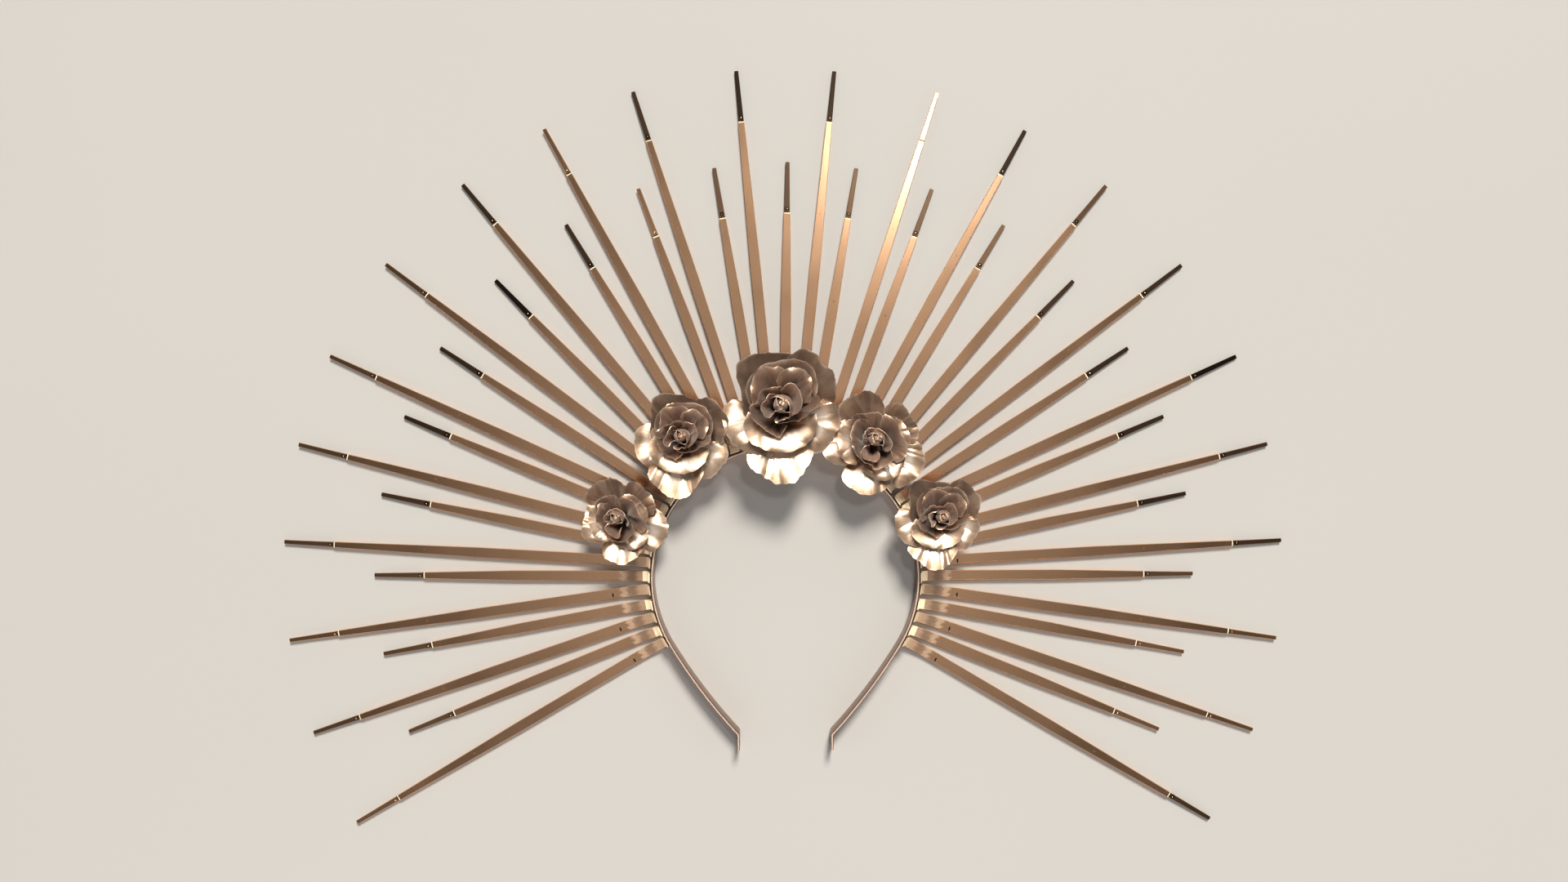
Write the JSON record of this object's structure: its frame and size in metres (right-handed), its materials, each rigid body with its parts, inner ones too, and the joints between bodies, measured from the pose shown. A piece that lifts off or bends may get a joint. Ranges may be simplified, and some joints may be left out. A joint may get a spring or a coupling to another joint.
{
  "type": "halo crown",
  "caption": "Halo crown: a bent metal headband carrying a fan of flat tapered rose-gold rays, long and short in turn, with sculpted roses along its top.",
  "frame": {"origin": "under the middle of the crown's box, on the surface that it lies on", "axes": "+X to the right of someone who faces the worn crown, +Y to the top of the worn crown, +Z out of the crown's front, which faces up as it lies"},
  "size_m": [0.4768, 0.3584, 0.046],
  "materials": {
    "band_paint": "satin rose-gold paint on spring steel strip",
    "ray_paint": "satin metallic rose-gold paint on moulded nylon straps",
    "rose_petal": "metallic rose-gold paint on stiffened cloth petals"
  },
  "bodies": {
    "root": {"headband": "band_paint", "ray_long_01": "ray_paint", "ray_long_02": "ray_paint", "ray_long_03": "ray_paint", "ray_long_04": "ray_paint", "ray_long_05": "ray_paint", "ray_long_06": "ray_paint", "ray_long_07": "ray_paint", "ray_long_08": "ray_paint", "ray_long_09": "ray_paint", "ray_long_10": "ray_paint", "ray_long_11": "ray_paint", "ray_long_12": "ray_paint", "ray_long_13": "ray_paint", "ray_long_14": "ray_paint", "ray_long_15": "ray_paint", "ray_long_16": "ray_paint", "ray_long_17": "ray_paint", "ray_long_18": "ray_paint", "ray_long_19": "ray_paint", "ray_long_20": "ray_paint", "ray_long_21": "ray_paint", "ray_long_22": "ray_paint", "ray_short_01": "ray_paint", "ray_short_02": "ray_paint", "ray_short_03": "ray_paint", "ray_short_04": "ray_paint", "ray_short_05": "ray_paint", "ray_short_06": "ray_paint", "ray_short_07": "ray_paint", "ray_short_08": "ray_paint", "ray_short_09": "ray_paint", "ray_short_10": "ray_paint", "ray_short_11": "ray_paint", "ray_short_12": "ray_paint", "ray_short_13": "ray_paint", "ray_short_14": "ray_paint", "ray_short_15": "ray_paint", "ray_short_16": "ray_paint", "ray_short_17": "ray_paint", "ray_short_18": "ray_paint", "ray_short_19": "ray_paint", "ray_short_20": "ray_paint", "ray_short_21": "ray_paint", "rose_centre": "rose_petal", "rose_left_upper": "rose_petal", "rose_right_upper": "rose_petal", "rose_left_lower": "rose_petal", "rose_right_lower": "rose_petal"}
  },
  "joints": []
}
